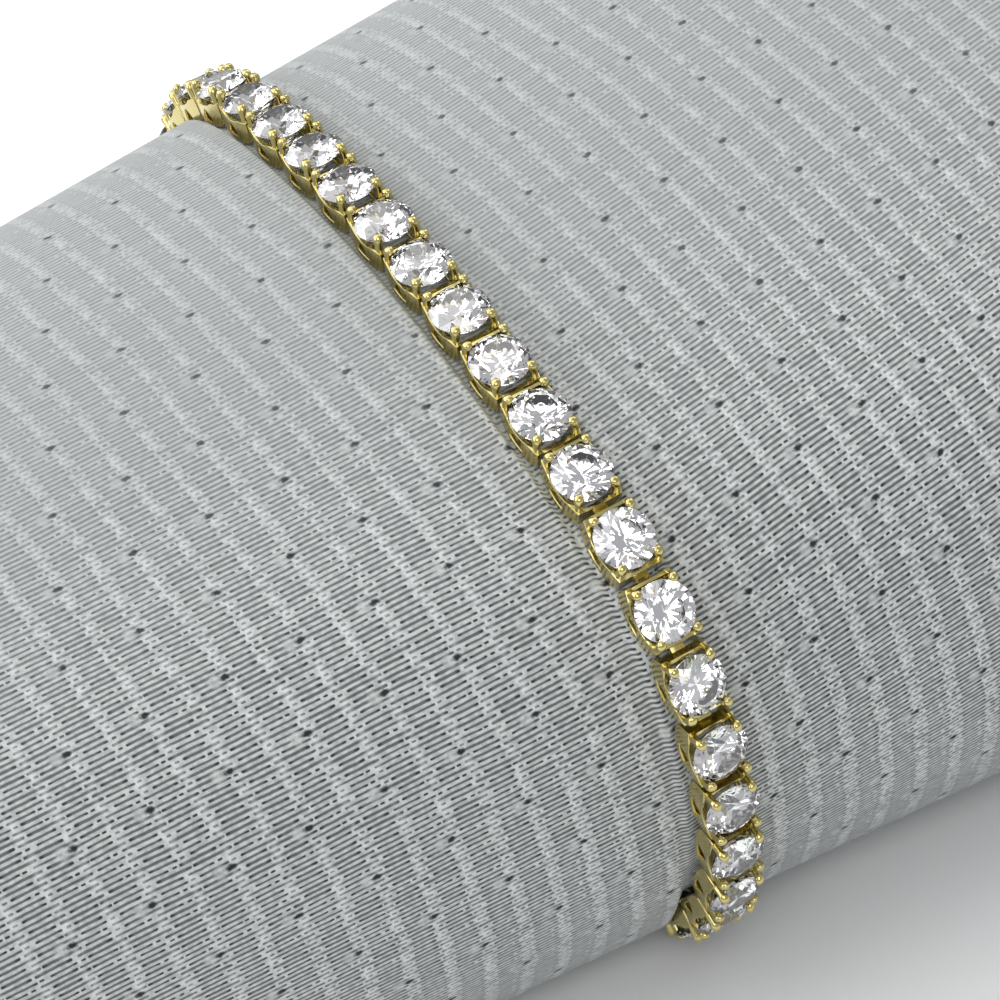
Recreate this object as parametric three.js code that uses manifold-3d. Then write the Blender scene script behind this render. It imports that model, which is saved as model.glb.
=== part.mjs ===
// Tennis bracelet of four-prong links on a fabric-covered display roll. Millimetres, +Z up.
// The roll lies along X on the ground; the bracelet goes round it in the plane X = 0.
import * as THREE from 'three';
import { mergeVertices } from 'three/addons/utils/BufferGeometryUtils.js';
import Module from 'manifold-3d';

const wasm = await Module();
wasm.setup();

// Chain
const pitch = 4.45;
const linkCount = 38;
const claspPitches = 2;

// Stone, a round brilliant with its girdle in the link's own plane z = 0
const stoneDiameter = 3.7;
const tableShare = 0.56;
const crownHeight = 0.56;
const pavilionDepth = 1.55;
const stoneSides = 8;

// Setting, in the link's own frame: x across, y along the chain, z away from the wrist
const prongAcross = 1.29;
const prongAlong = 1.7;
const prongRadius = 0.27;
const prongTipRadius = 0.13;
const prongTop = 0.65;
const prongShoulder = 0.4;
const prongFoot = -0.7;
const prongSides = 5;
const plateThickness = 0.56;
const plateTop = -0.5;
const linkBase = -2.05;
const plateOverhang = 0.37;
const plateReach = prongAlong + plateOverhang;
const plateCorner = 0.45;
const windowHalfWidth = 0.55;
const windowHeight = 0.6;
const windowRail = 0.24;
const endPlateThickness = 0.2;
const endPlateHeight = 0.22;
const sunk = 0.1;

// Hinge between two links: a pin between the plates of one, a tongue with an eye on the other
const hingeDepth = 1.25;
const hingeInset = 1.6;
const pinRadius = 0.13;
const pinSides = 5;
const tongueWidth = 0.9;
const eyeRadius = 0.5;
const eyeHole = 0.33;
const eyeSpread = 69;
const tongueHalfHeight = 0.28;
const tongueRoot = 0.4;
const bridgeThickness = 0.3;

// Clasp, one plain closed block
const claspHalfWidth = 1.7;
const claspTop = 0.45;
const claspBevel = 0.25;
const claspGap = 0.25;

// Path of the hinges round the roll: radius in pitches and the heading each arc ends on, in degrees.
// Heading 90 goes towards -Y, 0 goes straight down, -90 goes towards +Y under the roll. The lower
// back arc, on to lowerBackHeading, takes the radius that closes the path over a flat stretch below.
const bottomHeading = -90;
const lowerBackHeading = -180;
const arcs = [
  { radius: 3.7, to: -217.5 },
  { radius: 4.6, to: -262 },
  { radius: 15.0, to: -298 },
  { radius: 3.45, to: -360 },
  { radius: 6.4, to: -380 },
  { radius: 4.3, to: -421.5 },
  { radius: 2.65, to: -450 },
];

// Display roll
const rollLength = 116;
const rollTaper = 0.0044;
const underFlattening = 3;
const groundClearance = 0.3;
const rollGap = 0.45;
const rollSideSlack = 0.35;
const rollStations = 36;
const grooveHalfWidth = 2.3;
const grooveWall = 0.4;
const endRounding = 6;
const endInset = 0.14;
const endStations = [0, 0.12, 0.4, 1];

const goldMaterial = new THREE.MeshStandardMaterial({ color: '#c9aa55', roughness: 0.22, metalness: 1 });
const claspMaterial = new THREE.MeshStandardMaterial({ color: '#c9aa55', roughness: 0.3, metalness: 1 });
const fabricMaterial = new THREE.MeshStandardMaterial({ color: '#b3b7b9', roughness: 0.9, metalness: 0 });

const degree = Math.PI / 180;
const alongX = new THREE.Matrix4().makeBasis(
  new THREE.Vector3(0, 1, 0), new THREE.Vector3(0, 0, 1), new THREE.Vector3(1, 0, 0));

function toSolid(geometry) {
  const bare = geometry.clone();
  bare.deleteAttribute('normal');
  bare.deleteAttribute('uv');
  const merged = mergeVertices(bare, 1e-4);
  const index = merged.index.array;
  const kept = [];
  for (let i = 0; i < index.length; i += 3) {
    const [a, b, c] = [index[i], index[i + 1], index[i + 2]];
    if (a !== b && b !== c && c !== a) kept.push(a, b, c);
  }
  return new wasm.Manifold(new wasm.Mesh({
    numProp: 3,
    vertProperties: new Float32Array(merged.attributes.position.array),
    triVerts: new Uint32Array(kept),
  }));
}

function toGeometry(solid) {
  const mesh = solid.getMesh();
  const geometry = new THREE.BufferGeometry();
  geometry.setAttribute('position', new THREE.BufferAttribute(new Float32Array(mesh.vertProperties), 3));
  geometry.setIndex(new THREE.BufferAttribute(new Uint32Array(mesh.triVerts), 1));
  geometry.computeVertexNormals();
  return geometry;
}

function joined(solids) {
  return solids.reduce((all, next) => all.add(next));
}

function box(x0, x1, y0, y1, z0, z1) {
  const geometry = new THREE.BoxGeometry(x1 - x0, y1 - y0, z1 - z0);
  geometry.translate((x0 + x1) / 2, (y0 + y1) / 2, (z0 + z1) / 2);
  return toSolid(geometry);
}

// A flat profile given in (along, up) and drawn out across the link from x0 to x1
function slab(outline, hole, x0, x1) {
  const shape = new THREE.Shape(outline.map(([y, z]) => new THREE.Vector2(y, z)));
  if (hole) shape.holes.push(new THREE.Path(hole.map(([y, z]) => new THREE.Vector2(y, z))));
  const geometry = new THREE.ExtrudeGeometry(shape, { depth: x1 - x0, bevelEnabled: false });
  geometry.applyMatrix4(alongX);
  geometry.translate(x0, 0, 0);
  return toSolid(geometry);
}

function ringPoints(y, z, radius, sides, phase) {
  const points = [];
  for (let i = 0; i < sides; i += 1) {
    const angle = phase + (i / sides) * 2 * Math.PI;
    points.push([y + radius * Math.cos(angle), z + radius * Math.sin(angle)]);
  }
  return points;
}

// Brilliant cut: octagonal table, a ring of crown facets and a ring of pavilion facets down to a point
function stoneSolid() {
  const radius = stoneDiameter / 2;
  const positions = [];
  for (const [share, z, turn] of [[tableShare, crownHeight, 0.5], [1, 0, 0]]) {
    for (let i = 0; i < stoneSides; i += 1) {
      const angle = ((i + turn) / stoneSides) * 2 * Math.PI;
      positions.push(radius * share * Math.cos(angle), radius * share * Math.sin(angle), z);
    }
  }
  positions.push(0, 0, -pavilionDepth);
  const culet = 2 * stoneSides;
  const index = [];
  for (let i = 1; i < stoneSides - 1; i += 1) index.push(0, i, i + 1);
  for (let i = 0; i < stoneSides; i += 1) {
    const next = (i + 1) % stoneSides;
    const girdle = stoneSides + i;
    const girdleNext = stoneSides + next;
    index.push(i, girdle, girdleNext, i, girdleNext, next, culet, girdleNext, girdle);
  }
  const geometry = new THREE.BufferGeometry();
  geometry.setAttribute('position', new THREE.BufferAttribute(new Float32Array(positions), 3));
  geometry.setIndex(index);
  return toSolid(geometry);
}

function prongSolid(x, y) {
  const profile = [
    new THREE.Vector2(0, prongFoot),
    new THREE.Vector2(prongRadius, prongFoot),
    new THREE.Vector2(prongRadius, prongShoulder),
    new THREE.Vector2(prongTipRadius, prongTop),
    new THREE.Vector2(0, prongTop),
  ];
  const geometry = new THREE.LatheGeometry(profile, prongSides, Math.PI / prongSides);
  geometry.rotateX(Math.PI / 2);
  geometry.translate(x, y, 0);
  return toSolid(geometry);
}

function platesSolid() {
  const outline = [
    [-plateReach, plateTop],
    [-plateReach, linkBase + plateCorner],
    [-plateReach + plateCorner, linkBase],
    [plateReach - plateCorner, linkBase],
    [plateReach, linkBase + plateCorner],
    [plateReach, plateTop],
  ];
  const sill = linkBase + windowRail;
  const hole = [[-windowHalfWidth, sill], [0, sill + windowHeight], [windowHalfWidth, sill]];
  const inner = prongAcross - plateThickness / 2;
  const outer = prongAcross + plateThickness / 2;
  return slab(outline, hole, -outer, -inner).add(slab(outline, hole, inner, outer));
}

function pinSolid(y) {
  const geometry = new THREE.CylinderGeometry(pinRadius, pinRadius, 2 * prongAcross, pinSides);
  geometry.rotateZ(Math.PI / 2);
  geometry.translate(0, y, -hingeDepth);
  return toSolid(geometry);
}

// The tongue starts at rootY inside its own link and carries an eye round the next pin at eyeY
function tongueSolid(rootY, eyeY) {
  const outline = [[rootY, -hingeDepth - tongueHalfHeight]];
  for (const angle of [-eyeSpread * degree, 0, eyeSpread * degree]) {
    outline.push([eyeY + eyeRadius * Math.cos(angle), -hingeDepth + eyeRadius * Math.sin(angle)]);
  }
  outline.push([rootY, -hingeDepth + tongueHalfHeight]);
  const hole = ringPoints(eyeY, -hingeDepth, eyeHole, pinSides, 0).reverse();
  return slab(outline, hole, -tongueWidth / 2, tongueWidth / 2);
}

function linkGeometry() {
  const reach = prongAcross - plateThickness / 2 + sunk;
  const solids = [
    platesSolid(),
    pinSolid(-hingeInset),
    tongueSolid(plateReach - tongueRoot, pitch - hingeInset),
  ];
  for (const x of [-prongAcross, prongAcross]) {
    for (const y of [-prongAlong, prongAlong]) solids.push(prongSolid(x, y));
  }
  solids.push(box(-reach, reach, -plateReach, -plateReach + endPlateThickness,
    plateTop - endPlateHeight, plateTop));
  solids.push(box(-reach, reach, plateReach - bridgeThickness, plateReach,
    -hingeDepth - tongueHalfHeight, -hingeDepth + eyeRadius));
  solids.push(stoneSolid());
  return toGeometry(joined(solids));
}

// The clasp's frame has its upstream pin where a link has it, and its eye claspPitches further on
function claspGeometry() {
  const lastHinge = claspPitches * pitch - hingeInset;
  const bodyStart = -hingeInset + eyeRadius + claspGap;
  const bodyEnd = lastHinge - (plateReach - hingeInset) - claspGap;
  const shape = new THREE.Shape([
    new THREE.Vector2(-claspHalfWidth + claspBevel, linkBase + claspBevel),
    new THREE.Vector2(claspHalfWidth - claspBevel, linkBase + claspBevel),
    new THREE.Vector2(claspHalfWidth - claspBevel, claspTop - claspBevel),
    new THREE.Vector2(-claspHalfWidth + claspBevel, claspTop - claspBevel),
  ]);
  const body = new THREE.ExtrudeGeometry(shape, {
    depth: bodyEnd - bodyStart - 2 * claspBevel,
    bevelEnabled: true,
    bevelThickness: claspBevel,
    bevelSize: claspBevel,
    bevelSegments: 1,
  });
  body.applyMatrix4(new THREE.Matrix4().makeBasis(
    new THREE.Vector3(-1, 0, 0), new THREE.Vector3(0, 0, 1), new THREE.Vector3(0, 1, 0)));
  body.translate(0, bodyStart + claspBevel, 0);
  const inner = prongAcross - plateThickness / 2;
  const outer = prongAcross + plateThickness / 2;
  const solids = [toSolid(body), pinSolid(-hingeInset), tongueSolid(bodyEnd - tongueRoot, lastHinge)];
  for (const [x0, x1] of [[-outer, -inner], [inner, outer]]) {
    solids.push(box(x0, x1, -plateReach, bodyStart + tongueRoot, linkBase + plateCorner, plateTop));
  }
  return toGeometry(joined(solids));
}

// Point and heading on the hinge path at length s, for arcs scaled by the given size of one pitch
function makePath(scale) {
  let dy = 0;
  let dz = 0;
  let from = lowerBackHeading;
  for (const arc of arcs) {
    dy -= arc.radius * scale * (Math.cos(arc.to * degree) - Math.cos(from * degree));
    dz -= arc.radius * scale * (Math.sin(from * degree) - Math.sin(arc.to * degree));
    from = arc.to;
  }
  const lowerBackRadius = -dz;
  const flat = -(dy + lowerBackRadius);
  const pieces = [{ start: 0, length: flat, y: 0, z: 0, heading: bottomHeading, radius: Infinity }];
  let [s, y, z, heading] = [flat, flat, 0, bottomHeading];
  const turns = [{ radius: lowerBackRadius, to: lowerBackHeading }];
  for (const arc of arcs) turns.push({ radius: arc.radius * scale, to: arc.to });
  for (const turn of turns) {
    const length = turn.radius * (heading - turn.to) * degree;
    pieces.push({ start: s, length, y, z, heading, radius: turn.radius });
    y -= turn.radius * (Math.cos(turn.to * degree) - Math.cos(heading * degree));
    z -= turn.radius * (Math.sin(heading * degree) - Math.sin(turn.to * degree));
    s += length;
    heading = turn.to;
  }
  const total = s;
  const at = (where) => {
    const lap = Math.floor(where / total);
    const rest = where - lap * total;
    const piece = pieces.findLast((one) => one.start <= rest) ?? pieces[0];
    const along = rest - piece.start;
    if (piece.radius === Infinity) {
      return { y: piece.y + along, z: piece.z, heading: piece.heading * degree, radius: piece.radius };
    }
    const end = piece.heading * degree - along / piece.radius;
    return {
      y: piece.y - piece.radius * (Math.cos(end) - Math.cos(piece.heading * degree)),
      z: piece.z - piece.radius * (Math.sin(piece.heading * degree) - Math.sin(end)),
      heading: end,
      radius: piece.radius,
    };
  };
  return { at, total, flat };
}

// The value between low and high where the test turns from true to false
function turningPoint(low, high, test) {
  let [from, to] = [low, high];
  while (to - from > 1e-9) {
    const middle = (from + to) / 2;
    if (test(middle)) from = middle;
    else to = middle;
  }
  return (from + to) / 2;
}

function nextHinge(path, s) {
  const here = path.at(s);
  return turningPoint(s, s + 2 * pitch, (where) => {
    const there = path.at(where);
    return Math.hypot(there.y - here.y, there.z - here.z) < pitch;
  });
}

function walk(path) {
  const stops = [(path.flat + claspPitches * pitch) / 2];
  for (let i = 0; i < linkCount; i += 1) stops.push(nextHinge(path, stops[i]));
  return stops;
}

// The arcs are sized so that the links and the clasp close the loop exactly
function closedPath() {
  return makePath(turningPoint(pitch / 2, 2 * pitch, (scale) => {
    const path = makePath(scale);
    return path.total + (path.flat - claspPitches * pitch) / 2 < walk(path)[linkCount];
  }));
}

// Moves a link built in its own frame so that its pin sits on one hinge and its eye on the next
function placed(geometry, from, to) {
  const length = Math.hypot(to.y - from.y, to.z - from.z);
  const along = new THREE.Vector3(0, (to.y - from.y) / length, (to.z - from.z) / length);
  const out = new THREE.Vector3(0, along.z, -along.y);
  const matrix = new THREE.Matrix4().makeBasis(new THREE.Vector3(-1, 0, 0), along, out);
  matrix.setPosition(new THREE.Vector3(0, from.y, from.z)
    .addScaledVector(along, hingeInset)
    .addScaledVector(out, hingeDepth));
  const moved = geometry.clone();
  moved.applyMatrix4(matrix);
  moved.computeVertexNormals();
  return moved;
}

// Outline of the roll under the bracelet: the hinge path moved inwards, a little more away from the top
function rollSection(path, ground) {
  const points = [];
  const baseDepth = hingeDepth + linkBase;
  for (let i = 0; i < rollStations; i += 1) {
    const here = path.at((i / rollStations) * path.total);
    const upward = Math.max(0, Math.sin(here.heading));
    const sag = here.radius === Infinity ? 0 : (pitch * pitch) / (8 * here.radius);
    const inwards = -baseDepth + rollGap + sag + rollSideSlack * (1 - upward);
    points.push([here.y + inwards * Math.cos(here.heading), here.z - inwards * Math.sin(here.heading) - ground]);
  }
  return points;
}

function rollGeometry(path, ground) {
  const inner = rollSection(path, ground);
  const heights = inner.map((point) => point[1]);
  const lowest = Math.min(...heights);
  const middle = (Math.max(...heights) + lowest) / 2;
  const centreY = inner.reduce((sum, point) => sum + point[0], 0) / inner.length;
  const full = inner.map(([y, z]) => {
    const share = Math.max(0, (middle - z) / (middle - lowest));
    return [y, z - lowest * share ** underFlattening];
  });
  const half = rollLength / 2;
  const stations = endStations.map((share) => ({
    x: -half + share * endRounding,
    size: 1 - endInset * (1 - Math.sqrt(1 - (1 - share) ** 2)),
    outline: full,
  }));
  stations.push({ x: -half / 2, size: 1, outline: full });
  stations.push({ x: -grooveHalfWidth - grooveWall, size: 1, outline: full });
  stations.push({ x: -grooveHalfWidth, size: 1, outline: inner, level: true });
  const mirrored = stations.map((one) => ({ ...one, x: -one.x })).reverse();
  const rings = [...stations, ...mirrored];
  const positions = [];
  for (const ring of rings) {
    const widening = ring.level ? 1 : 1 + rollTaper * ring.x;
    for (const [y, z] of ring.outline) {
      const lifted = z * ring.size + middle * (1 - ring.size);
      positions.push(ring.x, centreY + (y - centreY) * widening * ring.size, lifted);
    }
  }
  const count = inner.length;
  const index = [];
  for (let r = 0; r < rings.length - 1; r += 1) {
    for (let i = 0; i < count; i += 1) {
      const next = (i + 1) % count;
      const [a, b, c, d] = [r * count + i, r * count + next, (r + 1) * count + next, (r + 1) * count + i];
      index.push(a, b, c, a, c, d);
    }
  }
  const last = (rings.length - 1) * count;
  for (let i = 1; i < count - 1; i += 1) {
    index.push(0, i + 1, i);
    index.push(last, last + i, last + i + 1);
  }
  const geometry = new THREE.BufferGeometry();
  geometry.setAttribute('position', new THREE.BufferAttribute(new Float32Array(positions), 3));
  geometry.setIndex(index);
  geometry.computeVertexNormals();
  return geometry;
}

function build() {
  const path = closedPath();
  const stops = walk(path);
  const link = linkGeometry();
  const lowestPoint = -hingeDepth - prongTop;
  const ground = lowestPoint - groundClearance;
  const meshes = [];
  const hinges = stops.map((s) => {
    const { y, z } = path.at(s);
    return { y, z: z - ground };
  });
  for (let i = 0; i < linkCount; i += 1) {
    const mesh = new THREE.Mesh(placed(link, hinges[i], hinges[i + 1]), goldMaterial);
    mesh.name = `link_${String(i + 1).padStart(2, '0')}`;
    meshes.push(mesh);
  }
  const clasp = new THREE.Mesh(placed(claspGeometry(), hinges[linkCount], hinges[0]), claspMaterial);
  clasp.name = 'clasp';
  meshes.push(clasp);
  const roll = new THREE.Mesh(rollGeometry(path, ground), fabricMaterial);
  roll.name = 'display_roll';
  meshes.push(roll);

  const group = new THREE.Group();
  group.name = 'tennis_bracelet_on_display_roll';
  const bounds = new THREE.Box3();
  for (const mesh of meshes) bounds.expandByObject(mesh);
  const middle = bounds.getCenter(new THREE.Vector3());
  for (const mesh of meshes) {
    mesh.geometry.translate(-middle.x, -middle.y, -bounds.min.z);
    group.add(mesh);
  }
  return group;
}

export default build();
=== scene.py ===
import math
import random
import bpy
from mathutils import Matrix, Vector


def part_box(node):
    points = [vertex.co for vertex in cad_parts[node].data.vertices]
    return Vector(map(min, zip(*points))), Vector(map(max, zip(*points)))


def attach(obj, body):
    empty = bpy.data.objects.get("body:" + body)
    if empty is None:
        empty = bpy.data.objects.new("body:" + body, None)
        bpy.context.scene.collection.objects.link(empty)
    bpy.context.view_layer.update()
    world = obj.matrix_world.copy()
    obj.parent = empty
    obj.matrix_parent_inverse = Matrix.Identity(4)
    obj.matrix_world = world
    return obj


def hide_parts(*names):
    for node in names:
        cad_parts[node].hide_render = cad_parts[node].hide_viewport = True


# Tennis bracelet of hinged four-prong links, closed round a knit-covered display roll.
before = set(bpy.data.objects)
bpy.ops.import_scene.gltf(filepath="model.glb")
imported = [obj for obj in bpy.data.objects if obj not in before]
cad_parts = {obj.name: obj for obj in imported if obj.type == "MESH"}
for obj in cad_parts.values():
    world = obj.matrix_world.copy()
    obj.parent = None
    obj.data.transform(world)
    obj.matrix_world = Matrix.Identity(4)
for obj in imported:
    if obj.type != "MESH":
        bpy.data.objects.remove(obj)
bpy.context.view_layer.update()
random.seed(11)
mm = 0.001


# Small helpers

def deselectAll():
    if bpy.context.object and bpy.context.object.mode != "OBJECT":
        bpy.ops.object.mode_set(mode="OBJECT")
    bpy.ops.object.select_all(action="DESELECT")


def makeActive(*objects):
    deselectAll()
    for item in objects:
        item.select_set(True)
    bpy.context.view_layer.objects.active = objects[0]


def joinAll(objects, name):
    makeActive(*objects)
    if len(objects) > 1:
        bpy.ops.object.join()
    result = bpy.context.object
    result.name = name
    return result


def applyAll(item):
    makeActive(item)
    bpy.ops.object.transform_apply(location=True, rotation=True, scale=True)
    return item


def selectFaces(item, wanted):
    makeActive(item)
    bpy.ops.object.mode_set(mode="EDIT")
    bpy.ops.mesh.select_mode(type="FACE")
    bpy.ops.mesh.select_all(action="DESELECT")
    bpy.ops.object.mode_set(mode="OBJECT")
    for face in item.data.polygons:
        face.select = wanted(face)
    bpy.ops.object.mode_set(mode="EDIT")


def hexToLinear(code):
    parts = [int(code[i:i + 2], 16) / 255 for i in (1, 3, 5)]
    return [c / 12.92 if c <= 0.04045 else ((c + 0.055) / 1.055) ** 2.4 for c in parts] + [1.0]


def addNode(tree, kind, settings=None, inputs=None):
    node = tree.nodes.new(kind)
    for key, value in (settings or {}).items():
        setattr(node, key, value)
    for key, value in (inputs or {}).items():
        if isinstance(value, bpy.types.NodeSocket):
            tree.links.new(value, node.inputs[key])
        else:
            node.inputs[key].default_value = value
    return node


def startMaterial(name, settings):
    material = bpy.data.materials.new(name)
    material.use_nodes = True
    tree = material.node_tree
    tree.nodes.clear()
    shader = addNode(tree, "ShaderNodeBsdfPrincipled", None, settings)
    addNode(tree, "ShaderNodeOutputMaterial", None, {"Surface": shader.outputs[0]})
    return material, tree, shader


# Camera at the photo's angle, a long lens looking down along the roll, its place in millimetres
camera = {
    "place": (-81.94, -234.42, 216.0),
    "right": (0.85354, -0.47965, -0.20350),
    "up": (0.44628, 0.47145, 0.76063),
    "lens": 180.0,
}


def makeCamera():
    bpy.ops.object.camera_add()
    item = bpy.context.object
    right = Vector(camera["right"]).normalized()
    back = right.cross(Vector(camera["up"])).normalized()
    up = back.cross(right)
    turn = Matrix((right, up, back)).transposed().to_4x4()
    item.matrix_world = Matrix.Translation(Vector(camera["place"]) * mm) @ turn
    item.data.sensor_width = 36.0
    item.data.lens = camera["lens"]
    item.data.clip_start = 0.01
    item.data.clip_end = 20.0
    bpy.context.scene.camera = item


makeCamera()
print("camera done")


# Materials

gold = {"colour": "#ccbe80", "roughness": (0.15, 0.28), "markSize": 0.35, "markDepth": 0.05}
# The stones' fire is painted: faint tints, one to a facet, in place of coloured flashes of light
zirconia = {"ior": 2.3, "paintedFire": ["#faf6ff", "#fff4f4", "#f4fff7", "#ffffff"], "paintedFireStep": 0.14}


def goldPlating():
    # Polished yellow gold plating on brass: a soft mirror, a little uneven from tumbling
    material, tree, shader = startMaterial("polishedGoldPlating", {
        "Base Color": hexToLinear(gold["colour"]), "Metallic": 1.0})
    place = addNode(tree, "ShaderNodeTexCoord").outputs["Object"]
    marks = addNode(tree, "ShaderNodeTexNoise", None, {
        "Vector": place, "Scale": 1 / (gold["markSize"] * mm), "Detail": 2.0})
    rough = addNode(tree, "ShaderNodeMapRange", None, {
        "Value": marks.outputs["Fac"], "From Min": 0.3, "From Max": 0.7,
        "To Min": gold["roughness"][0], "To Max": gold["roughness"][1]})
    tree.links.new(rough.outputs[0], shader.inputs["Roughness"])
    bump = addNode(tree, "ShaderNodeBump", None, {
        "Height": marks.outputs["Fac"], "Strength": 0.1, "Distance": gold["markDepth"] * mm})
    tree.links.new(bump.outputs[0], shader.inputs["Normal"])
    return material


def zirconiaStone():
    # Cut and polished cubic zirconia: clear and strongly bending, with a faint fire painted facet by facet, a
    # tint on each facet that stands in for coloured flashes of light
    material, tree, shader = startMaterial("cutCubicZirconia", {
        "Roughness": 0.0, "IOR": zirconia["ior"], "Transmission Weight": 1.0})
    facet = addNode(tree, "ShaderNodeAttribute", {"attribute_name": "facet"}).outputs["Fac"]
    ramp = addNode(tree, "ShaderNodeValToRGB", None, {0: facet})
    ramp.color_ramp.interpolation = "CONSTANT"
    shades = [hexToLinear(code) for code in zirconia["paintedFire"]]
    while len(ramp.color_ramp.elements) < len(shades):
        ramp.color_ramp.elements.new(0.5)
    for number, (element, shade) in enumerate(zip(ramp.color_ramp.elements, shades)):
        element.position = zirconia["paintedFireStep"] * number
        element.color = shade
    tree.links.new(ramp.outputs[0], shader.inputs["Base Color"])
    return material


goldMaterial = goldPlating()
stoneMaterial = zirconiaStone()
print("metal and stone materials done")


# Links. The setting and the stone are modelled once in millimetres, in the link's own frame:
# x across, y along the chain, z away from the wrist, the stone's girdle at z = 0.
setting = {
    "count": 38,
    "pitch": 4.45,
    "prongAcross": 1.29,
    "prongAlong": 1.70,
    "stemRadius": 0.24,
    "stemTop": 0.1,
    "stemLength": 0.9,
    "headSteps": [(0.06, 0.262), (0.10, 0.295), (0.12, 0.31), (0.12, 0.298),
                  (0.10, 0.255), (0.07, 0.185), (0.03, 0.10)],
    "headLean": 0.28,
    "plateThickness": 0.42,
    "plateReach": 2.08,
    "plateTop": -0.42,
    "base": -2.0,
    "railHeight": 0.34,
    "plateBow": 0.24,
    "railBow": 0.08,
    "plateEdge": 0.05,
    "endPlate": {"inset": 0.11, "foot": -1.05, "top": -0.2, "thickness": 0.2},
    "bridge": {"inset": 0.16, "foot": -1.5, "top": -0.55, "thickness": 0.28},
    "barEdge": 0.03,
    "hingeDepth": 1.25,
    "hingeInset": 1.6,
    "pinRadius": 0.14,
    "eyeRadius": 0.48,
    "eyeHole": 0.3,
    "tongueWidth": 0.9,
    "tongueHeight": 0.52,
    "tongueRoot": 0.35,
    "tongueEdge": 0.04,
    "solidEyeRadius": 0.5,
    "plateSlices": 6,
    "railReach": 0.1,
    "barOverlap": 0.05,
    "smooth": 42,
}


def flatShape(name, outlines, thickness, edge):
    # A flat curve in (along, up), filled, drawn out and rounded at its edges, then made a mesh
    shape = bpy.data.curves.new(name, "CURVE")
    shape.dimensions = "2D"
    shape.fill_mode = "BOTH"
    shape.extrude = thickness / 2 - edge
    shape.bevel_depth = edge
    shape.bevel_resolution = 1
    shape.offset = -edge
    for points in outlines:
        spline = shape.splines.new("POLY")
        spline.points.add(len(points) - 1)
        for point, (along, up) in zip(spline.points, points):
            point.co = (along, up, 0.0, 1.0)
        spline.use_cyclic_u = True
    item = bpy.data.objects.new(name, shape)
    bpy.context.collection.objects.link(item)
    makeActive(item)
    bpy.ops.object.convert(target="MESH")
    item = bpy.context.object
    item.matrix_world = Matrix(((0, 0, 1, 0), (1, 0, 0, 0), (0, 1, 0, 0), (0, 0, 0, 1)))
    return applyAll(item)


def sidePlate(side):
    # A pierced plate between two prongs, bowed outwards and downwards in its middle
    s = setting
    reach, top, base = s["plateReach"], s["plateTop"], s["base"]
    corner = [(-reach, top), (-reach, base + 0.42), (-reach + 0.16, base + 0.16),
              (-reach + 0.5, base + 0.05)]
    outline = corner + [(0.0, base)] + [(-along, up) for along, up in reversed(corner)]
    outline += [(1.15, top), (0.75, top - 0.16), (0.0, top - 0.22), (-0.75, top - 0.16), (-1.15, top)]
    sill = base + s["railHeight"]
    arch = [(0.72, sill + 0.03), (0.5, sill + 0.36), (0.22, sill + 0.66)]
    window = [(-along, up) for along, up in arch] + [(0.0, sill + 0.74)]
    window += arch[::-1] + [(0.0, sill - 0.02)]
    item = flatShape("plate", [outline, window], s["plateThickness"], s["plateEdge"])
    makeActive(item)
    bpy.ops.object.mode_set(mode="EDIT")
    slices = s["plateSlices"]
    for number in range(1 - slices, slices):
        bpy.ops.mesh.select_all(action="SELECT")
        bpy.ops.mesh.bisect(plane_co=(0, number * reach / slices, 0), plane_no=(0, 1, 0))
    bpy.ops.object.mode_set(mode="OBJECT")
    for vertex in item.data.vertices:
        swell = max(0.0, 1 - (vertex.co.y / reach) ** 2)
        vertex.co.x += side * (s["prongAcross"] + s["plateBow"] * swell)
        vertex.co.z -= s["railBow"] * swell if vertex.co.z < sill + s["railReach"] else 0.0
    return item


def prong(x, y):
    # A round post drawn up from the plate, swelling into a rounded head that leans over the stone
    s = setting
    bpy.ops.mesh.primitive_cylinder_add(
        vertices=16, radius=s["stemRadius"], depth=s["stemLength"], end_fill_type="NGON",
        location=(0, 0, s["stemTop"] - s["stemLength"] / 2))
    item = bpy.context.object
    applyAll(item)
    selectFaces(item, lambda face: face.normal.z > 0.9)
    inward = Vector((-x, -y, 0)).normalized()
    radius = s["stemRadius"]
    for rise, width in s["headSteps"]:
        lean = inward * (rise * s["headLean"])
        bpy.ops.mesh.extrude_region_move(TRANSFORM_OT_translate={"value": (lean.x, lean.y, rise)})
        bpy.ops.transform.resize(value=(width / radius, width / radius, 1))
        radius = width
    bpy.ops.object.mode_set(mode="OBJECT")
    item.location = (x, y, 0)
    return applyAll(item)


def crossBar(name, side, halfWidth):
    # A bar from plate to plate, just inside the setting's back or front end
    bar = setting[name]
    half, foot, top = bar["thickness"] / 2, bar["foot"], bar["top"]
    outline = [(-half, foot), (half, foot), (half, top), (-half, top)]
    item = flatShape(name, [outline], 2 * halfWidth, setting["barEdge"])
    item.location.y = side * (setting["plateReach"] - bar["inset"])
    return applyAll(item)


def hingePin(y):
    s = setting
    bpy.ops.mesh.primitive_cylinder_add(
        vertices=14, radius=s["pinRadius"], depth=2 * s["prongAcross"],
        location=(0, y, -s["hingeDepth"]), rotation=(0, math.pi / 2, 0))
    return applyAll(bpy.context.object)


def tongue(rootY, eyeY):
    # A flat tongue that ends in the eye round the next link's pin
    s = setting
    level, half = -s["hingeDepth"], s["tongueHeight"] / 2

    def arc(radius, angles):
        return [(eyeY + radius * math.cos(angle), level + radius * math.sin(angle)) for angle in angles]

    outline = [(rootY, level - half)]
    outline += arc(s["eyeRadius"], [i * math.radians(21) for i in range(-6, 7)])
    outline.append((rootY, level + half))
    hole = arc(s["eyeHole"], [i * math.pi / 8 for i in range(16)])
    return flatShape("tongue", [outline, hole], s["tongueWidth"], s["tongueEdge"])


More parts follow.
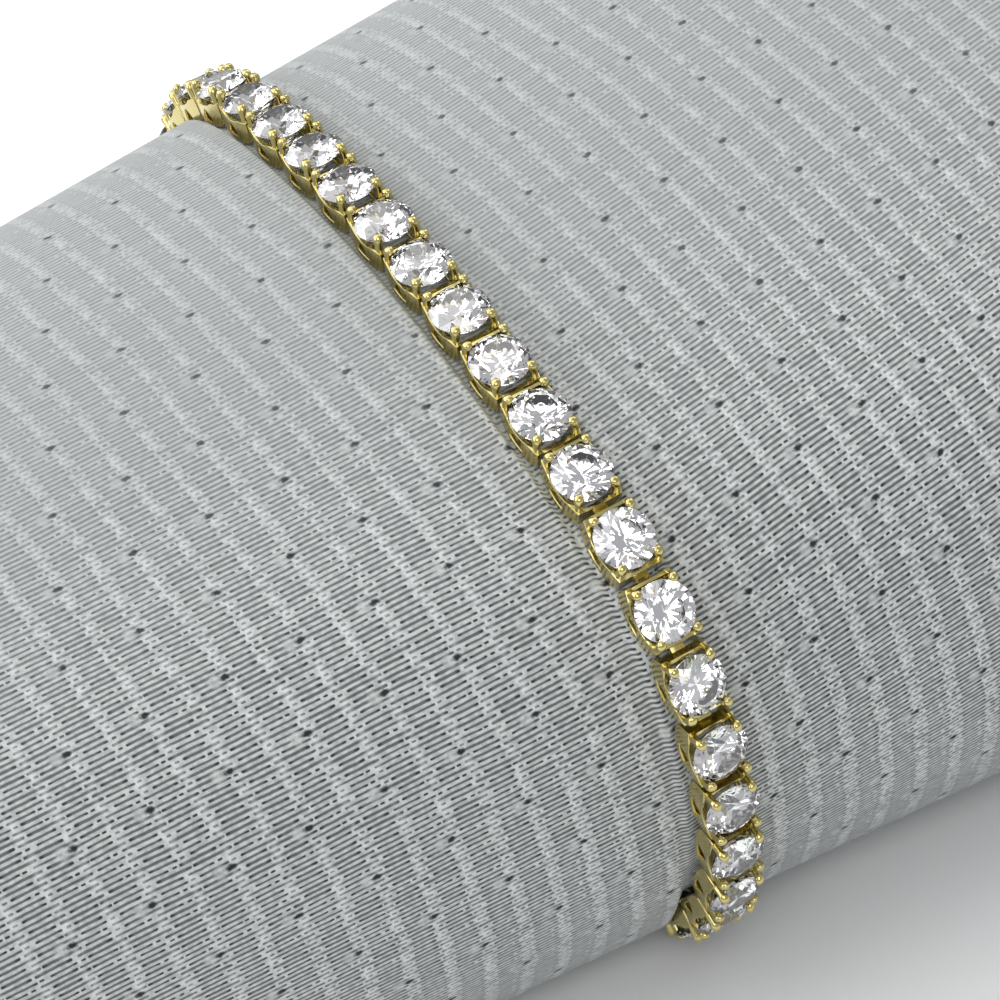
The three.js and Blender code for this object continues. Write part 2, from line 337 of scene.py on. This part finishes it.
def makeSetting():
    s = setting
    across, along = s["prongAcross"], s["prongAlong"]
    parts = [sidePlate(side) for side in (-1, 1)]
    parts += [prong(x, y) for x in (-across, across) for y in (-along, along)]
    inner = across - s["plateThickness"] / 2 + s["barOverlap"]
    parts += [crossBar("endPlate", -1, inner), crossBar("bridge", 1, inner)]
    parts.append(hingePin(-s["hingeInset"]))
    parts.append(tongue(s["plateReach"] - s["tongueRoot"], s["pitch"] - s["hingeInset"]))
    item = joinAll(parts, "settingMaster")
    item.data.materials.clear()
    item.data.materials.append(goldMaterial)
    makeActive(item)
    bpy.ops.object.shade_smooth_by_angle(angle=math.radians(s["smooth"]))
    return item


stone = {
    "radius": 1.85,
    "table": 0.57,
    "crownAngle": 34.0,
    "pavilionAngle": 40.4,
    "girdle": 0.05,
    "sides": 8,
    "starShare": 0.97,
    "lowShare": 0.22,
    "blankDepth": 5.0,
    "blankSides": 64,
    "tilt": 1.5,
}


def planeThrough(a, b, c):
    normal = (b - a).cross(c - a).normalized()
    return normal if normal.dot(a) > 0 else -normal


def ringPoint(turn, radius, height):
    return Vector((radius * math.cos(turn), radius * math.sin(turn), height))


def makeStone():
    # A round brilliant, ground facet by facet from a plain blank as a cutter does
    s = stone
    r, g = s["radius"], s["girdle"]
    crown = math.tan(math.radians(s["crownAngle"]))
    pavilion = math.tan(math.radians(s["pavilionAngle"]))
    step = 2 * math.pi / s["sides"]
    bpy.ops.mesh.primitive_cylinder_add(
        vertices=s["blankSides"], radius=r, depth=s["blankDepth"], end_fill_type="NGON")
    item = bpy.context.object
    makeActive(item)
    bpy.ops.object.mode_set(mode="EDIT")

    def grind(point, normal):
        bpy.ops.mesh.select_all(action="SELECT")
        bpy.ops.mesh.bisect(plane_co=point, plane_no=normal, use_fill=True, clear_outer=True, threshold=1e-5)

    tableHeight = g + r * (1 - s["table"]) * crown
    grind(Vector((0, 0, tableHeight)), Vector((0, 0, 1)))
    starRadius = r * (0.5 + 0.5 * s["table"] * math.cos(step / 2)) * s["starShare"]
    lowRadius = s["lowShare"] * r
    for k in range(s["sides"]):
        main = k * step
        half = main + step / 2
        star = ringPoint(half, starRadius, g + (r - starRadius * math.cos(step / 2)) * crown)
        low = ringPoint(half, lowRadius, -g - (r - lowRadius * math.cos(step / 2)) * pavilion)
        corner, nextCorner = [ringPoint(a, r * s["table"], tableHeight) for a in (main, main + step)]
        grind(ringPoint(main, r, g), planeThrough(corner, star, ringPoint(main, r, g)))
        grind(star, planeThrough(corner, nextCorner, star))
        grind(low, planeThrough(ringPoint(main, r, -g), low, Vector((0, 0, -g - r * pavilion))))
        for turn in (main, main + step):
            grind(star, planeThrough(star, ringPoint(turn, r, g), ringPoint(half, r, g)))
            grind(low, planeThrough(low, ringPoint(turn, r, -g), ringPoint(half, r, -g)))
    bpy.ops.mesh.select_all(action="SELECT")
    bpy.ops.mesh.normals_make_consistent(inside=False)
    bpy.ops.object.mode_set(mode="OBJECT")
    item.name = "stoneMaster"
    facets = item.data.attributes.new("facet", "FLOAT", "FACE")
    for face in item.data.polygons:
        facets.data[face.index].value = random.random()
    item.data.materials.clear()
    item.data.materials.append(stoneMaterial)
    return item


def linkFrame(node):
    # In the solid, the girdle's outermost corners give the middle of the stone, and the tip of the
    # eye the way along
    spots = [v.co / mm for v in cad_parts[node].data.vertices]
    cornerMargin = 0.005
    widest = max(spot.x for spot in spots)
    girdle = [spot for spot in spots if spot.x > widest - cornerMargin]
    middle = sum(girdle, Vector()) / len(girdle)
    middle.x = 0
    tip = max(spots, key=lambda spot: (spot - middle).yz.length) - middle
    eyeTip = setting["pitch"] - setting["hingeInset"] + setting["solidEyeRadius"]
    turn = math.atan2(tip.z, tip.y) + math.atan2(-setting["hingeDepth"], eyeTip)
    along = Vector((0, math.cos(turn), math.sin(turn)))
    out = Vector((0, along.z, -along.y))
    return middle, along, out


def placeMatrix(middle, along, out):
    turn = Matrix((Vector((-1, 0, 0)), along, out)).transposed().to_4x4()
    return Matrix.Scale(mm, 4) @ Matrix.Translation(middle) @ turn


def makeLinks():
    settingMaster = makeSetting()
    stoneMaster = makeStone()
    print("link master:", len(settingMaster.data.polygons), "faces, stone:", len(stoneMaster.data.polygons))
    for number in range(1, setting["count"] + 1):
        node = f"link_{number:02d}"
        body = settingMaster.copy()
        body.data = settingMaster.data.copy()
        gem = stoneMaster.copy()
        gem.data = stoneMaster.data.copy()
        for item in (body, gem):
            bpy.context.collection.objects.link(item)
        tilt = Matrix.Identity(4)
        for axis in "XY":
            degrees = random.uniform(-stone["tilt"], stone["tilt"])
            tilt @= Matrix.Rotation(math.radians(degrees), 4, axis)
        gem.data.transform(tilt @ Matrix.Rotation(random.uniform(0, math.pi / 4), 4, "Z"))
        item = joinAll([body, gem], f"fourProngLink{number:02d}")
        item.data.transform(placeMatrix(*linkFrame(node)))
        item.data.update()
        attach(item, "root")
        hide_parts(node)
    for item in (settingMaster, stoneMaster):
        bpy.data.objects.remove(item)


makeLinks()
print("links done")


# Clasp: the solid's own plain closed block under the roll, with its edges rounded. In millimetres
# and degrees.
clasp = {"edge": 0.05, "segments": 2, "corner": 30, "flat": 2, "smooth": 40}


def makeClasp():
    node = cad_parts["clasp"]
    item = bpy.data.objects.new("closedClasp", node.data.copy())
    bpy.context.collection.objects.link(item)
    makeActive(item)
    bpy.ops.object.mode_set(mode="EDIT")
    bpy.ops.mesh.select_all(action="SELECT")
    bpy.ops.mesh.remove_doubles(threshold=1e-6)
    bpy.ops.mesh.dissolve_limited(angle_limit=math.radians(clasp["flat"]))
    bpy.ops.object.mode_set(mode="OBJECT")
    bevel = item.modifiers.new("Bevel", "BEVEL")
    bevel.width = clasp["edge"] * mm
    bevel.segments = clasp["segments"]
    bevel.limit_method = "ANGLE"
    bevel.angle_limit = math.radians(clasp["corner"])
    bpy.ops.object.modifier_apply(modifier=bevel.name)
    bpy.ops.object.shade_smooth_by_angle(angle=math.radians(clasp["smooth"]))
    item.data.materials.clear()
    item.data.materials.append(goldMaterial)
    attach(item, "root")
    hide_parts("clasp")


makeClasp()
print("clasp done")


# Display roll: padding under a fine knit cover, in millimetres
roll = {
    "around": 240,
    "taper": 0.0044,
    "endRounding": 6.0,
    "endInset": 0.14,
    "endCrown": 1.2,
    "endRings": (0.02, 0.2, 0.4, 0.6, 0.75),
    "outerRing": 2.7,
    "innerRing": 2.3,
    "grooveFrom": 2.2,
    "grooveTo": 1.75,
    "fineReach": 2.6,
    "mediumReach": 5.0,
    "fineEnd": 0.15,
    "steps": (0.12, 0.5, 1.5),
    "standProud": 0.33,
    "rise": 0.75,
    "riseTowards": (0.67, 0.74),
    "riseFrom": (-0.2, 0.8),
    "facingDown": -0.5,
    "groundFade": 2.0,
}


def rollRings():
    # The solid roll's own rings either side of the groove's wall, each as (y, z)
    spots = {}
    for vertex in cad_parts["display_roll"].data.vertices:
        x, y, z = (c / mm for c in vertex.co)
        spots.setdefault(round(x, 1), {})[(round(y, 2), round(z, 2))] = (y, z)
    rings = []
    for x in (-roll["outerRing"], -roll["innerRing"]):
        points = list(spots[x].values())
        middleY = sum(p[0] for p in points) / len(points)
        middleZ = sum(p[1] for p in points) / len(points)
        points.sort(key=lambda p: (-math.pi / 2 - math.atan2(p[1] - middleZ, p[0] - middleY)) % math.tau)
        rings.append(points)
    return rings


def smoothLoop(points, count):
    # A closed Catmull-Rom curve through the points, cut into equal shares of its own length
    dense = []
    total = len(points)
    for i in range(total):
        p0, p1, p2, p3 = (Vector(points[(i + k) % total]) for k in (-1, 0, 1, 2))
        for j in range(24):
            t = j / 24
            dense.append(0.5 * ((2 * p1) + (p2 - p0) * t + (2 * p0 - 5 * p1 + 4 * p2 - p3) * t ** 2
                                + (3 * p1 - p0 - 3 * p2 + p3) * t ** 3))
    lengths = [0.0]
    for a, b in zip(dense, dense[1:] + dense[:1]):
        lengths.append(lengths[-1] + (b - a).length)
    result, where = [], 0
    for i in range(count):
        goal = lengths[-1] * i / count
        while lengths[where + 1] < goal:
            where += 1
        share = (goal - lengths[where]) / (lengths[where + 1] - lengths[where])
        result.append(dense[where].lerp(dense[(where + 1) % len(dense)], share))
    return result, lengths[-1]


def smoothStep(low, high, value):
    t = min(1.0, max(0.0, (value - low) / (high - low)))
    return t * t * (3 - 2 * t)


# The knit's pattern, in millimetres on the cloth
knit = {
    "yarn": ["#a8acad", "#c4c7c6"],
    # darker yarn towards the far side, and low down on the near side as painted shade
    "darkerYarn": "#a1a5a6",
    "gap": "#37393b",
    # painted highlight on the raised ridges
    "ridgeAndHighlight": "#e0e3e4",
    "eyelet": "#26282a",
    "speckle": (2.2, 4.0, 0.35, 0.65),
    "middle": 60.0,
    "endPlace": 30.0,
    "widenAlong": 0.00082,
    "widenAround": 0.00196,
    "skew": 0.0484,
    "turn": 0.1224,
    "turnByBend": 0.0817,
    "bendBlend": 5.0,
    "waveAlong": (0.15, 0.5),
    "waveAround": (0.11, 0.4),
    "waveOfYarn": (1.6, 0.06),
    "rowSpacing": 0.3456,
    "rowGap": 0.078,
    "rowGapVaries": 0.03,
    "courseSpacing": 2.35,
    "coursePlace": 1.43,
    "courseVaries": 0.1,
    "alternate": 0.65,
    "gapLength": 1.5,
    "gapVaries": 0.16,
    "gapSoftness": 0.035,
    # painted shade: the gaps are darker at their ends than along their middle
    "gapEndShade": (-0.3, -0.06, 0.8, 1.0),
    "brokenShare": 0.35,
    "unbrokenExtra": 0.24,
    "dashShift": 0.2,
    "dotPlace": 0.93,
    "dotHalf": 0.07,
    "ridgeFrom": 0.62,
    "ridgePatches": (0.9, 2.0, 0.3, 0.6),
    "ridgeRise": 0.9,
    "ridgeHighlightShare": 0.5,
    "ridgeOnGaps": 0.45,
    "eyeletAlong": 4.70,
    "eyeletAround": 4.839,
    "eyeletPlace": (1.926, 1.904),
    "eyeletSize": 0.185,
    "eyeletSoftness": 0.09,
    "eyeletStretch": 1.5,
    "eyeletRagged": (4.0, 0.22),
    "closedBeside": 0.62,
    "closedSize": (0.24, 0.5),
    "closedOnGaps": 0.7,
    "farSide": (-6.0, 24.0),
    "lowDown": (-38.0, -20.0, 1.0, 0.0),
    "farFades": {"gaps": 0.52, "eyelets": 0.2, "yarn": 0.85, "ridgeHighlights": 0.28},
    "lowFades": {"gaps": 0.3, "yarn": 0.5},
    "bumpDepth": 0.1,
}


class ClothNodes:
    # Short names for the maths, noise and mix nodes of one cloth material

    def __init__(self, tree, uv):
        self.tree = tree
        self.uv = uv

    def maths(self, operation, *values):
        inputs = dict(enumerate(values))
        return addNode(self.tree, "ShaderNodeMath", {"operation": operation}, inputs).outputs[0]

    def add(self, first, second):
        return self.maths("ADD", first, second)

    def subtract(self, first, second):
        return self.maths("SUBTRACT", first, second)

    def multiply(self, first, second):
        return self.maths("MULTIPLY", first, second)

    def divide(self, first, second):
        return self.maths("DIVIDE", first, second)

    def fraction(self, value):
        return self.maths("FRACT", value)

    def length(self, first, second):
        return self.maths("SQRT", self.add(self.maths("POWER", first, 2.0), self.maths("POWER", second, 2.0)))

    def less(self, value, amount):
        # One, less a share of the value
        return self.subtract(1.0, self.multiply(value, amount))

    def more(self, value, amount):
        # One, and a share of the value
        return self.add(self.multiply(value, amount), 1.0)

    def centred(self, value, amount):
        return self.multiply(self.subtract(value, 0.5), amount)

    def noise(self, scale, detail):
        return addNode(self.tree, "ShaderNodeTexNoise", None, {
            "Vector": self.uv, "Scale": scale, "Detail": detail}).outputs["Fac"]

    def wave(self, scale, amount):
        return self.centred(self.noise(scale, 1.0), amount)

    def ramped(self, value, low, high, start=0.0, end=1.0):
        return addNode(self.tree, "ShaderNodeMapRange", {"interpolation_type": "SMOOTHSTEP"}, {
            "Value": value, "From Min": low, "From Max": high, "To Min": start, "To Max": end}).outputs[0]

    def patches(self, scale, detail, low, high):
        return self.ramped(self.noise(scale, detail), low, high)

    def mixed(self, share, first, second):
        return addNode(self.tree, "ShaderNodeMix", {"data_type": "RGBA"}, {
            0: share, 6: first, 7: second}).outputs[2]


def clothPlace(n):
    # The cover is turned a little on the roll, more so on its wider side, and stretched there. Gives
    # the places along and round the roll on the cloth, and the plain place round it.
    k = knit
    parts = addNode(n.tree, "ShaderNodeSeparateXYZ", None, {0: n.uv})
    flatU, flatV = parts.outputs[0], n.subtract(parts.outputs[1], k["middle"])
    bend = n.length(flatU, k["bendBlend"])
    slope = n.add(n.multiply(flatU, k["turn"]), n.multiply(bend, k["turnByBend"]))
    straightV = n.subtract(n.multiply(flatV, n.more(flatU, k["widenAround"])), slope)
    straightU = n.multiply(flatU, n.more(flatU, k["widenAlong"]))
    u = n.add(n.add(straightU, n.multiply(straightV, k["skew"])), n.wave(*k["waveAlong"]))
    v = n.add(n.add(straightV, n.wave(*k["waveAround"])), n.wave(*k["waveOfYarn"]))
    return u, v, flatV


def knitGaps(n, u, v):
    # Short dark gaps with rounded ends between the rows. Every other row is set on a little, and
    # some of the gaps are broken into a dash and a dot.
    k = knit
    row = n.divide(v, k["rowSpacing"])
    rowNumber = n.maths("FLOOR", row)
    across = n.centred(n.fraction(row), k["rowSpacing"])
    odd = n.multiply(n.fraction(n.multiply(rowNumber, 0.5)), 2.0)
    setOn = n.add(n.add(u, k["coursePlace"]), n.multiply(odd, k["alternate"]))
    course = n.divide(setOn, k["courseSpacing"])
    cell = addNode(n.tree, "ShaderNodeCombineXYZ", None, {0: rowNumber, 1: n.maths("FLOOR", course)})
    draw = addNode(n.tree, "ShaderNodeTexWhiteNoise", {"noise_dimensions": "2D"}, {
        "Vector": cell.outputs[0]})
    first, second, third = addNode(n.tree, "ShaderNodeSeparateColor", None, {
        0: draw.outputs["Color"]}).outputs[:3]
    drift = n.centred(first, k["courseVaries"])
    along = n.add(n.centred(n.fraction(course), k["courseSpacing"]), drift)
    unbroken = n.maths("GREATER_THAN", third, k["brokenShare"])
    halfGap = n.add(n.add(k["gapLength"] / 2, n.multiply(unbroken, k["unbrokenExtra"])),
                    n.centred(second, k["gapVaries"]))
    dashPlace = n.add(along, n.multiply(n.subtract(1.0, unbroken), k["dashShift"]))
    fromDash = n.subtract(n.maths("ABSOLUTE", dashPlace), halfGap)
    fromDot = n.subtract(n.maths("ABSOLUTE", n.subtract(along, k["dotPlace"])), k["dotHalf"])
    beyond = n.maths("MAXIMUM", n.maths("MINIMUM", fromDash, fromDot), 0.0)
    reach = n.add(k["rowGap"], n.centred(third, k["rowGapVaries"]))
    gap = n.ramped(n.subtract(reach, n.length(beyond, across)), -k["gapSoftness"], k["gapSoftness"])
    # Painted shade: each gap is painted darkest at its ends and dots, a little lighter along the middle of
    # its dash
    return n.multiply(gap, n.ramped(fromDash, *k["gapEndShade"]))


def knitRidges(n, u):
    # Between two courses the yarn stands up in a broken ridge round the roll; its paleness is a painted
    # highlight on the raised yarn
    k = knit
    course = n.divide(n.add(u, k["coursePlace"] + k["alternate"] / 2), k["courseSpacing"])
    fromMiddle = n.maths("ABSOLUTE", n.centred(n.fraction(course), 2.0))
    return n.multiply(n.ramped(fromMiddle, k["ridgeFrom"], 1.0), n.patches(*k["ridgePatches"]))


def knitEyelets(n, u, v):
    # Small open eyelets in a staggered grid, and beside each a spot where the gaps are closed
    k = knit
    row = n.divide(n.add(v, k["eyeletPlace"][1]), k["eyeletAround"])
    stagger = n.multiply(n.fraction(n.multiply(n.maths("FLOOR", row), 0.5)), k["eyeletAlong"])
    setOn = n.add(u, n.add(stagger, k["eyeletPlace"][0]))
    holeU = n.centred(n.fraction(n.divide(setOn, k["eyeletAlong"])), k["eyeletAlong"])
    holeV = n.centred(n.fraction(row), k["eyeletAround"])
    ragged = n.wave(*k["eyeletRagged"])

    def spot(shift, stretch, low, high):
        away = n.length(n.divide(n.add(holeU, shift), stretch), holeV)
        return n.ramped(n.add(away, ragged), low, high, 1.0, 0.0)

    size, softness = k["eyeletSize"], k["eyeletSoftness"]
    hole = spot(0.0, k["eyeletStretch"], size - softness, size + softness)
    return hole, spot(k["closedBeside"], 1.0, *k["closedSize"])


def knitCover():
    # Fine knit of matt polyester yarn: pale rows along the roll with short dark gaps between them,
    # ridges across them with a painted highlight on top, and small open eyelets
    k = knit
    material, tree, shader = startMaterial("fineKnitPolyester", {
        "Roughness": 0.85, "Sheen Weight": 0.15, "Sheen Roughness": 0.4, "Specular IOR Level": 0.25})
    n = ClothNodes(tree, addNode(tree, "ShaderNodeUVMap", {"uv_map": "knit"}).outputs[0])
    u, v, place = clothPlace(n)
    gap, ridgeAndHighlight = knitGaps(n, u, v), knitRidges(n, u)
    hole, closed = knitEyelets(n, u, v)

    # The pattern fades towards the far side, and a little low down on the near side; the yarn is darker there
    # too, and low down on the near side that is painted shade
    far, low = n.ramped(place, *k["farSide"]), n.ramped(place, *k["lowDown"])
    farFades, lowFades = k["farFades"], k["lowFades"]
    faded = n.add(n.multiply(far, farFades["gaps"]), n.multiply(low, lowFades["gaps"]))
    opened = n.multiply(n.less(closed, k["closedOnGaps"]), n.less(ridgeAndHighlight, k["ridgeOnGaps"]))
    dark = n.multiply(gap, n.multiply(opened, n.subtract(1.0, faded)))
    hole = n.multiply(hole, n.less(far, farFades["eyelets"]))

    speckled = n.mixed(n.patches(*k["speckle"]), *[hexToLinear(code) for code in k["yarn"]])
    # Darker yarn towards the far side, and painted shade low down on the near side
    darkerYarnShare = n.add(n.multiply(far, farFades["yarn"]), n.multiply(low, lowFades["yarn"]))
    yarn = n.mixed(darkerYarnShare, speckled, hexToLinear(k["darkerYarn"]))
    ridgeHighlightShare = n.subtract(k["ridgeHighlightShare"], n.multiply(far, farFades["ridgeHighlights"]))
    # Painted highlight: the raised ridges are painted paler, less so towards the far side
    ridgeHighlighted = n.mixed(n.multiply(ridgeAndHighlight, ridgeHighlightShare), yarn, hexToLinear(k["ridgeAndHighlight"]))
    colour = n.mixed(hole, n.mixed(dark, ridgeHighlighted, hexToLinear(k["gap"])), hexToLinear(k["eyelet"]))
    tree.links.new(colour, shader.inputs["Base Color"])
    height = n.subtract(n.multiply(ridgeAndHighlight, k["ridgeRise"]), n.maths("MAXIMUM", dark, hole))
    bump = addNode(tree, "ShaderNodeBump", None, {
        "Height": height, "Strength": 0.5, "Distance": k["bumpDepth"] * mm})
    tree.links.new(bump.outputs[0], shader.inputs["Normal"])
    return material


def rollStations(half):
    # Places along the roll with the share of full size there, close together at the ends and groove
    r = roll
    fineStep, mediumStep, longStep = r["steps"]
    stations = [(-half, size) for size in r["endRings"]]
    x = -half
    while x < -0.001:
        rounding = min(1.0, (x + half) / r["endRounding"])
        stations.append((x, 1 - r["endInset"] * (1 - math.sqrt(max(0.0, 1 - (1 - rounding) ** 2)))))
        if rounding < r["fineEnd"] or abs(x) < r["fineReach"]:
            x += fineStep
        else:
            x += mediumStep if rounding < 1 or abs(x) < r["mediumReach"] else longStep
    return stations + [(0.0, 1.0)] + [(-x, size) for x, size in reversed(stations)]


def rollOutlines():
    # Matched outlines of the roll outside and inside the groove, the way round, and the middle
    r = roll
    outerRing, innerRing = rollRings()
    middleY = sum(p[0] for p in innerRing) / len(innerRing)
    heights = [p[1] for p in innerRing]
    middleZ = (max(heights) + min(heights)) / 2
    ringWidth = 1 - r["taper"] * r["outerRing"]
    outerRing = [(middleY + (y - middleY) / ringWidth, z) for y, z in outerRing]
    outer, girth = smoothLoop(outerRing, r["around"])
    fine = smoothLoop(innerRing, 8 * r["around"])[0]
    inner = [min(fine, key=lambda spot: (spot - point).length_squared) for point in outer]
    return outer, inner, girth, (middleY, middleZ)


def rollPoint(x, size, line, half, outer, inner, middle):
    # One point of the cover: between the two outlines, puffed out and drawn in towards the ends
    r = roll
    middleY, middleZ = middle
    share = 1 - smoothStep(r["grooveTo"], r["grooveFrom"], abs(x))
    before, point, after = [outer[i % r["around"]].lerp(inner[i % r["around"]], share)
                            for i in (line - 1, line, line + 1)]
    lean = (after - before).normalized()
    outward = Vector((-lean.y, lean.x))
    clear = smoothStep(0.0, r["groundFade"], point.y) if outward.y < r["facingDown"] else 1.0
    above = smoothStep(*r["riseFrom"], outward.dot(Vector(r["riseTowards"])))
    puff = r["standProud"] * clear + r["rise"] * above * (1 - share)
    y, z = point.x + outward.x * puff, point.y + outward.y * puff
    width = (1 + r["taper"] * x * (1 - share)) * size
    onEnd = abs(x) > half - 0.001
    crown = r["endCrown"] * (1 - (size / (1 - r["endInset"])) ** 2) if onEnd else 0.0
    lifted = z * size + middleZ * (1 - size)
    return Vector((
        x + math.copysign(max(0.0, crown), x), middleY + (y - middleY) * width, max(0.0, lifted)))


def layCloth(data, places, stations, girth):
    # The cover runs round the roll from a seam underneath, and flat panels close the ends
    layer = data.uv_layers[0] if data.uv_layers else data.uv_layers.new()
    layer.name = "knit"
    endColumns = len(roll["endRings"]) + 1
    for face in data.polygons:
        columns = [places[index][1] for index in face.vertices]
        onEnd = max(columns) < endColumns or min(columns) >= len(stations) - endColumns
        for corner in face.loop_indices:
            index = data.loops[corner].vertex_index
            line, column = places[index]
            spot = data.vertices[index].co / mm
            around = (stations[column][0], girth * line / roll["around"])
            layer.data[corner].uv = (spot.y, spot.z + knit["endPlace"]) if onEnd else around


def makeRoll():
    r = roll
    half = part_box("display_roll")[1].x / mm
    outer, inner, girth, middle = rollOutlines()
    stations = rollStations(half)
    bpy.ops.mesh.primitive_grid_add(x_subdivisions=len(stations) - 1, y_subdivisions=r["around"], size=1.0)
    item = bpy.context.object
    item.name = "knitDisplayRoll"
    data = item.data
    spots = sorted(range(len(data.vertices)),
                   key=lambda i: (round(data.vertices[i].co.y, 6), round(data.vertices[i].co.x, 6)))
    places = {}
    for order, index in enumerate(spots):
        line, column = divmod(order, len(stations))
        places[index] = (line, column)
        data.vertices[index].co = rollPoint(*stations[column], line, half, outer, inner, middle) * mm
    layCloth(data, places, stations, girth)
    makeActive(item)
    bpy.ops.object.mode_set(mode="EDIT")
    bpy.ops.mesh.select_all(action="SELECT")
    bpy.ops.mesh.remove_doubles(threshold=1e-6)
    bpy.ops.mesh.select_mode(type="VERT")
    bpy.ops.mesh.select_all(action="DESELECT")
    bpy.ops.mesh.select_non_manifold()
    bpy.ops.mesh.edge_face_add()
    bpy.ops.mesh.select_all(action="SELECT")
    bpy.ops.mesh.normals_make_consistent(inside=False)
    bpy.ops.object.mode_set(mode="OBJECT")
    bpy.ops.object.shade_smooth()
    data.materials.clear()
    data.materials.append(knitCover())
    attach(item, "root")
    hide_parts("display_roll")
    return item


displayRoll = makeRoll()
print("roll done:", len(displayRoll.data.polygons), "faces")


# Floor and light: a plain pale floor in an even room, and five soft lights. Each light has its
# place, what it points at, its size, its power and its colour, in metres and watts.
studio = {
    "floor": "#f1f2f3",
    "floorSize": 6.0,
    "room": "#f4f6f8",
    "roomStrength": 0.52,
    "lights": {
        "overheadSoftbox": ((-0.15, 0.2, 0.6), (0, 0, 0.02), (0.9, 0.7), 2.7, "#fffdf8"),
        "leftSoftbox": ((-0.55, 0.1, 0.35), (0, 0, 0.03), (0.4, 0.35), 1.4, "#fbfcff"),
        "cameraSoftbox": ((-0.2, -0.6, 0.6), (0, 0, 0.03), (0.5, 0.4), 1.9, "#fffefb"),
        "rightSoftbox": ((0.45, 0.2, 0.4), (0, 0, 0.03), (0.35, 0.25), 0.7, "#ffffff"),
        "backSoftbox": ((-0.35, 0.6, 0.35), (-0.1, 0.1, 0.0), (0.4, 0.3), 1.4, "#ffffff"),
    },
}


def makeFloor():
    bpy.ops.mesh.primitive_plane_add(size=studio["floorSize"], location=(0, 0, 0))
    floor = bpy.context.object
    floor.name = "paleFloor"
    material = startMaterial("paleMattBoard", {
        "Base Color": hexToLinear(studio["floor"]), "Roughness": 0.7})[0]
    floor.data.materials.append(material)


def softLight(name, place, target, size, power, colour):
    bpy.ops.object.light_add(type="AREA", location=place)
    light = bpy.context.object
    light.name = name
    light.data.shape = "RECTANGLE"
    light.data.size, light.data.size_y = size
    light.data.energy = power
    light.data.color = hexToLinear(colour)[:3]
    light.rotation_euler = (Vector(target) - Vector(place)).to_track_quat("-Z", "Y").to_euler()


def makeWorld():
    world = bpy.data.worlds.new("softRoom")
    bpy.context.scene.world = world
    world.use_nodes = True
    tree = world.node_tree
    tree.nodes.clear()
    background = addNode(tree, "ShaderNodeBackground", None, {
        "Color": hexToLinear(studio["room"]), "Strength": studio["roomStrength"]})
    addNode(tree, "ShaderNodeOutputWorld", None, {"Surface": background.outputs[0]})


makeFloor()
makeWorld()
for lightName, values in studio["lights"].items():
    softLight(lightName, *values)
# Plain tones, as the photo has them
bpy.context.scene.view_settings.view_transform = "Standard"
print("stage done")
